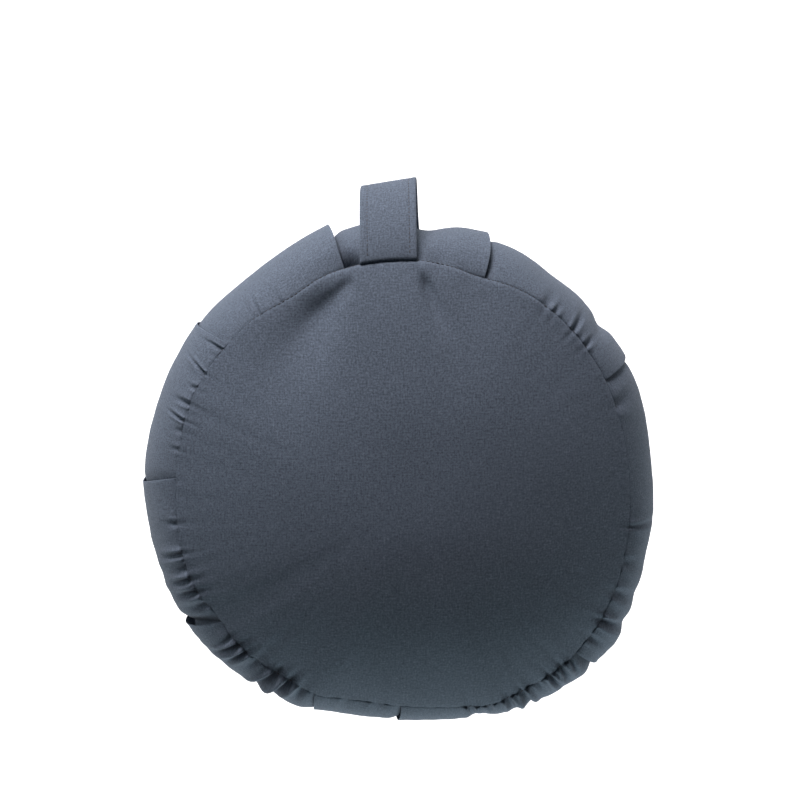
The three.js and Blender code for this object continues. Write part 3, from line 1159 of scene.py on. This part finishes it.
@dataclass
class HandleStrap:
    """The handle: doubled cloth, topstitched along both edges, sewn into both seams.

    reach is how far from the cushion's axis its loop stands out, tilt how much further one edge stands out
    than the other for each millimetre across, sway how far its back end lies beside its front end, and point
    how pointed the loop is. first_stitch is how far from its ends the topstitching starts, in stitches.
    """

    form: CushionForm
    name: str = "handle_strap_cloth"
    width: float = 39.5
    thickness: float = 2.6
    reach: float = 214.0
    tilt: float = 0.16
    point: float = 1.4
    sway: float = 11.0
    steps: int = 150
    half_columns: int = 22
    stitch_inset: float = 5.2
    first_stitch: float = 2.0
    groove_depth: float = 0.25
    groove_width: float = 0.9
    edge_ripple: float = 0.15
    edge_round: float = 0.9
    ripple_size: float = 11.0
    ripple_width: float = 14.0
    ripple_reach: float = 8.0
    sunk_end: float = 2.2
    end_share: float = 0.03

    def line(self, across: Array) -> Array:
        """The strap's middle surface.

        Args:
            across: Places across the strap, from its middle, one for each column.

        Returns:
            The points, by step and column.
        """
        form = self.form
        share, side = np.meshgrid(np.linspace(0.0, 1.0, self.steps), across, indexing="ij")
        x = form.strap_centre + side + self.sway * share**2
        angle = np.degrees(np.arctan2(form.seam(np.array(form.strap_angle)), x))
        start = np.sqrt(form.seam(angle) ** 2 - x**2)
        reach = self.reach + self.tilt * side - self.thickness / 2.0 - start
        front = form.front_seam + self.thickness / 2.0
        back = form.back_seam - self.thickness / 2.0
        from_end = np.minimum(share, 1.0 - share)
        to_front = np.where(share < 0.5, 1.0, -1.0)
        y = start + reach * np.sin(np.pi * from_end) ** self.point
        up = np.cos(np.pi * from_end) ** self.point
        sink = self.sunk_end * ease(1.0 - from_end / self.end_share)
        z = (front + back) / 2.0 + to_front * ((front - back) / 2.0 * up - sink)
        return np.stack([x, y, z], axis=-1)

    def half_thickness(self, across: Array) -> Array:
        """Half of the strap's thickness at places across it, with a groove under each row of stitches."""
        from_edge = self.width / 2.0 - np.abs(across)
        edge = np.sqrt(np.clip(from_edge / self.edge_round, 0.0, 1.0))
        groove = self.groove_depth * bell(from_edge - self.stitch_inset, self.groove_width)
        return self.thickness / 2.0 * edge - groove

    def walk(self, middle: Array) -> tuple[Array, Array]:
        """Follow the strap's middle surface from the front seam to the back seam.

        Args:
            middle: The points, by step and column.

        Returns:
            The outward normals, and the way that each column has come.
        """
        slope = np.gradient(middle, axis=0)
        steep = np.hypot(slope[..., 1], slope[..., 2])
        normal = np.stack([0.0 * steep, -slope[..., 2] / steep, slope[..., 1] / steep], axis=-1)
        return normal, way_along(*np.moveaxis(middle, -1, 0))

    def build(self, material: bpy.types.Material) -> bpy.types.Object:
        """Make the piece.

        Args:
            material: The strap's cloth.

        Returns:
            The piece.
        """
        across = self.width / 2.0 * np.sin(np.linspace(-np.pi / 2.0, np.pi / 2.0, self.half_columns * 2 + 1))
        middle = self.line(across)
        normal, arc = self.walk(middle)
        side = np.tile(across / self.ripple_width, (self.steps, 1))
        waves = ripple(arc / self.ripple_size, side, Seed.STRAP_EDGES)
        waves = self.edge_ripple * waves * bell(self.width / 2.0 - np.abs(across), self.ripple_reach)
        half = self.half_thickness(across)
        outer = middle + (waves + half)[..., None] * normal
        inner = middle + (waves - half)[..., None] * normal
        ring = np.concatenate([outer, inner[:, -2:0:-1], outer[:, :1]], axis=1)
        folded = 2.0 * across[-1] - across[-2:0:-1]
        place = np.concatenate([across, folded, [3.0 * across[-1]]])
        mean_arc = np.tile(arc.mean(axis=1)[:, None], (1, ring.shape[1]))
        uv = np.stack([np.tile(place, (self.steps, 1)), mean_arc], axis=-1)
        faces = [corners[::-1] for corners in grid_faces(self.steps, ring.shape[1])]
        piece = mesh_piece(self.name, ring.reshape(-1, 3), faces, uv.reshape(-1, 2))
        weld(piece)
        self.close_ends(piece)
        finish_piece(piece, material)
        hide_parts("handle_strap")
        return piece

    def close_ends(self, piece: bpy.types.Object) -> None:
        """Fill the two open ends of the strap and turn all faces outwards."""
        work = bmesh.new()
        work.from_mesh(piece.data)
        bmesh.ops.holes_fill(work, edges=[edge for edge in work.edges if edge.is_boundary])
        bmesh.ops.recalc_face_normals(work, faces=work.faces)
        work.to_mesh(piece.data)
        work.free()

    def stitch_rows(self, pitch: float) -> list["StitchRow"]:
        """Places for the topstitching: a row along each edge, on both faces.

        Args:
            pitch: The distance from one stitch to the next.

        Returns:
            The four rows.
        """
        across = np.array([-1.0, 1.0]) * (self.width / 2.0 - self.stitch_inset)
        middle = self.line(across)
        normal, arc = self.walk(middle)
        half = self.half_thickness(across)
        from_end = self.first_stitch * pitch
        rows = []
        for column in range(len(across)):
            way = np.arange(from_end, arc[-1, column] - from_end, pitch)
            centre = along_way(middle[:, column], arc[:, column], way)
            out = along_way(normal[:, column], arc[:, column], way)
            along = along_way(np.gradient(middle[:, column], axis=0), arc[:, column], way)
            for side in (1.0, -1.0):
                rows.append(StitchRow(centre + side * half[column] * out, along, side * out))
        return rows


# Sewing


def along_way(values: Array, way: Array, at: Array) -> Array:
    """Rows of three values, read at given distances along a way."""
    return np.stack([np.interp(at, way, values[:, axis]) for axis in range(3)], axis=-1)


def in_order(points: Array, faces: list[list[int]]) -> tuple[Array, list[list[int]]]:
    """Number points and faces by their places, because a primitive's own order isn't the same each run.

    Args:
        points: One row for each point, in millimetres.
        faces: The points' numbers, face by face.

    Returns:
        The same points and faces, in an order that doesn't change.
    """
    order = np.lexsort(np.round(points, PLACE_DIGITS).T)
    rank = np.argsort(order)
    ordered = []
    for face in faces:
        corners = rank[face].tolist()
        first = corners.index(min(corners))
        ordered.append(corners[first:] + corners[:first])
    return points[order], sorted(ordered)


@dataclass(frozen=True)
class StitchRow:
    """Where a row of stitches lies: the middle of each, the way it runs, and the cloth's outward normal."""

    point: Array
    along: Array
    normal: Array


@dataclass
class Stitching:
    """Rows of short stitches, each a copy of one that is modelled once.

    dive is how far a stitch's ends lie below its middle, as a share of its radius.
    """

    name: str
    slot: Slot
    length: float = 2.5
    radius: float = 0.42
    dive: float = 0.5
    pitch: float = 3.4
    sides: int = 6
    rings: int = 6

    def one_stitch(self) -> tuple[Array, list[list[int]]]:
        """Model one stitch along +X: a round thread that dives into the cloth at both ends.

        Returns:
            Its points in millimetres, and its faces.
        """
        bpy.ops.object.select_all(action="DESELECT")
        bpy.ops.mesh.primitive_uv_sphere_add(segments=self.sides, ring_count=self.rings, radius=1.0)
        bpy.ops.object.mode_set(mode="EDIT")
        bpy.ops.mesh.select_all(action="SELECT")
        bpy.ops.transform.rotate(value=math.pi / 2.0, orient_axis="Y", center_override=(0.0, 0.0, 0.0))
        bpy.ops.transform.resize(value=(self.length / 2.0, self.radius, self.radius))
        bpy.ops.object.mode_set(mode="OBJECT")
        model = bpy.context.object
        points = np.array([tuple(vertex.co) for vertex in model.data.vertices])
        faces = [list(face.vertices) for face in model.data.polygons]
        bpy.data.objects.remove(model, do_unlink=True)
        points[:, 2] -= self.dive * self.radius * (2.0 * points[:, 0] / self.length) ** 2
        return in_order(points, faces)

    def build(self, rows: list[StitchRow], material: bpy.types.Material, sewn_on: bpy.types.Object) -> None:
        """Copy the stitch along its rows, as one mesh.

        Args:
            rows: Where the stitches lie.
            material: The thread.
            sewn_on: The piece that they are sewn on.
        """
        stitch, stitch_faces = self.one_stitch()
        point = np.concatenate([row.point for row in rows])
        along = np.concatenate([row.along for row in rows])
        along = along / np.linalg.norm(along, axis=-1, keepdims=True)
        normal = np.concatenate([row.normal for row in rows])
        side = np.cross(normal, along)
        axes = np.stack([along, side, normal], axis=1)
        points = point[:, None, :] + np.einsum("pk,skx->spx", stitch, axes)
        count = len(stitch)
        faces = [[n * count + corner for corner in face] for n in range(len(point)) for face in stitch_faces]
        uv = np.tile(stitch[:, :2], (len(point), 1))
        piece = mesh_piece(self.name, points.reshape(-1, 3), faces, uv)
        finish_piece(piece, material)
        log.info("%s: %d stitches on %s", self.name, len(point), sewn_on.name)


# Floor, light and camera


@dataclass(frozen=True)
class Lamp:
    """A soft light that looks at the cushion.

    turn is how far round it stands from the handle's side, and rise its angle above the front seam, both in
    degrees. distance and size are metres, power is watts.
    """

    name: str
    turn: float
    rise: float
    distance: float
    size: tuple[float, float]
    power: float
    tint: tuple[float, float, float]

    def build(self, aim: Vector) -> None:
        """Add the light.

        Args:
            aim: The place that it looks at, in metres.
        """
        turned = math.radians(self.turn)
        rise = math.radians(self.rise)
        flat = math.cos(rise)
        way = Vector((-flat * math.sin(turned), flat * math.cos(turned), math.sin(rise)))
        lamp = bpy.data.lights.new(self.name, "AREA")
        lamp.shape = "RECTANGLE"
        lamp.size, lamp.size_y = self.size
        lamp.energy = self.power
        lamp.color = self.tint
        holder = bpy.data.objects.new(self.name, lamp)
        holder.location = aim + way * self.distance
        holder.rotation_euler = (-way).to_track_quat("-Z", "Y").to_euler()
        holder.visible_camera = False
        bpy.context.scene.collection.objects.link(holder)


@dataclass
class Studio:
    """A pale floor, soft lights, pale walls, and the camera above the cushion's face.

    The tilts are how far the camera stands from straight above, in degrees. aim is the place at half the
    cushion's height that it looks at, frame_width the width that it takes in there, and farthest how far it
    sees, in metres.
    """

    form: CushionForm
    tilt_to_handle: float = 10.0
    tilt_to_side: float = -3.6
    distance: float = 1300.0
    frame_width: float = 576.0
    aim: tuple[float, float] = (-2.7, 57.6)
    floor_size: float = 12000.0
    floor_paint: float = 0.3
    floor_roughness: float = 0.9
    floor_gloss: float = 0.1
    floor_glow: float = 1.4
    farthest: float = 50.0
    lamps: tuple[Lamp, ...] = (
        Lamp("window", 15.0, 16.0, 2.2, (0.9, 0.8), 75.0, (1.0, 0.91, 0.905)),
        Lamp("skylight", 60.0, 35.0, 2.2, (0.9, 0.8), 6.0, (0.9, 1.0, 1.0)),
        Lamp("low_screen", 195.0, -1.8, 1.55, (1.6, 0.1), 18.0, (0.86, 1.0, 1.0)),
    )
    wall_glow: float = 0.8
    wall_fade_power: float = 6.0
    air_glow: float = 0.02
    wall_tint: tuple[float, float, float] = (0.94, 0.98, 1.0)

    def build(self) -> None:
        """Make everything round the cushion."""
        self.floor()
        self.lights()
        self.camera()

    def floor(self) -> None:
        """A large plain floor."""
        bpy.ops.object.select_all(action="DESELECT")
        bpy.ops.mesh.primitive_plane_add(size=self.floor_size * MM, location=(0.0, 0.0, 0.0))
        floor = bpy.context.object
        floor.name = "studio_floor"
        material = bpy.data.materials.new("studio_paint")
        NodeSketch(material).surface(
            {
                "Base Color": (*(self.floor_paint,) * 3, 1.0),
                "Roughness": self.floor_roughness,
                "Specular IOR Level": self.floor_gloss,
                "Emission Color": (1.0, 1.0, 1.0, 1.0),
                "Emission Strength": self.floor_glow,
            }
        )
        floor.data.materials.append(material)

    def lights(self) -> None:
        """The lamps, and the glow of pale walls, which is brightest low down."""
        world = bpy.data.worlds.new("studio_air")
        sketch = NodeSketch(world)
        way = sketch.add("ShaderNodeTexCoord", {}).outputs["Generated"]
        up = sketch.add("ShaderNodeSeparateXYZ", {0: way}).outputs["Z"]
        low = sketch.math("SUBTRACT", 1.0, sketch.math("MAXIMUM", up, 0.0))
        walls = sketch.math("MULTIPLY", sketch.math("POWER", low, self.wall_fade_power), self.wall_glow)
        inputs = {"Color": (*self.wall_tint, 1.0), "Strength": sketch.math("ADD", walls, self.air_glow)}
        sky = sketch.add("ShaderNodeBackground", inputs)
        sketch.add("ShaderNodeOutputWorld", {"Surface": sky.outputs["Background"]})
        bpy.context.scene.world = world
        for lamp in self.lamps:
            lamp.build(Vector((0.0, 0.0, self.form.front_seam * MM)))
        bpy.context.scene.view_settings.view_transform = "Standard"

    def camera(self) -> None:
        """The camera, at the photograph's angle to the cushion's face."""
        middle = Vector((0.0, 0.0, (self.form.front_seam + self.form.back_seam) / 2.0))
        lean_x = math.tan(math.radians(self.tilt_to_side))
        lean_y = math.tan(math.radians(self.tilt_to_handle))
        place = middle + Vector((lean_x, lean_y, 1.0)).normalized() * self.distance
        target = middle + Vector((*self.aim, 0.0))
        forward = (target - place).normalized()
        right = forward.cross(Vector((0.0, 1.0, 0.0))).normalized()
        up = right.cross(forward)
        lens = bpy.data.cameras.new("photo_camera")
        lens.sensor_fit = "HORIZONTAL"
        lens.lens = lens.sensor_width * (target - place).length / self.frame_width
        lens.clip_end = self.farthest
        camera = bpy.data.objects.new("photo_camera", lens)
        turned = Matrix((right, up, -forward)).transposed().to_4x4()
        camera.matrix_world = Matrix.Translation(place * MM) @ turned
        bpy.context.scene.collection.objects.link(camera)
        bpy.context.scene.camera = camera


def main() -> None:
    """Build the cushion's pieces in order."""
    logging.basicConfig(level=logging.INFO, format="%(message)s")
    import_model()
    form = CushionForm.from_frame()
    Studio(form).build()
    side_cloth = ClothFinish("side_cotton").build()
    panel_cloth = ClothFinish("panel_cotton").build()
    strap_cloth = ClothFinish("strap_cotton").build()
    seam_thread_painted_shade = ThreadAndPaintedShadeFinish("seam_thread_painted_shade").build()
    strap_thread = ThreadAndPaintedShadeFinish("strap_thread").build()
    side = PleatedSide(form)
    side.build(side_cloth)
    # The seam's stitches are real thread, and their dark colour is also painted shade for the stitch holes
    # along the seam.
    seams = Stitching("seam_stitches_painted_shade", Slot.PANEL)
    front = RoundPanel(form, Face.FRONT, side.gathers)
    back = RoundPanel(form, Face.BACK, side.gathers, cells=110)
    front_cloth = front.build(panel_cloth)
    back.build(panel_cloth)
    seams.build([front.seam_row(seams.pitch), back.seam_row(seams.pitch)], seam_thread_painted_shade, front_cloth)
    strap = HandleStrap(form)
    strap_piece = strap.build(strap_cloth)
    topstitching = Stitching("strap_topstitching", Slot.STRAP)
    topstitching.build(strap.stitch_rows(topstitching.pitch), strap_thread, strap_piece)


if __name__ == "__main__":
    main()
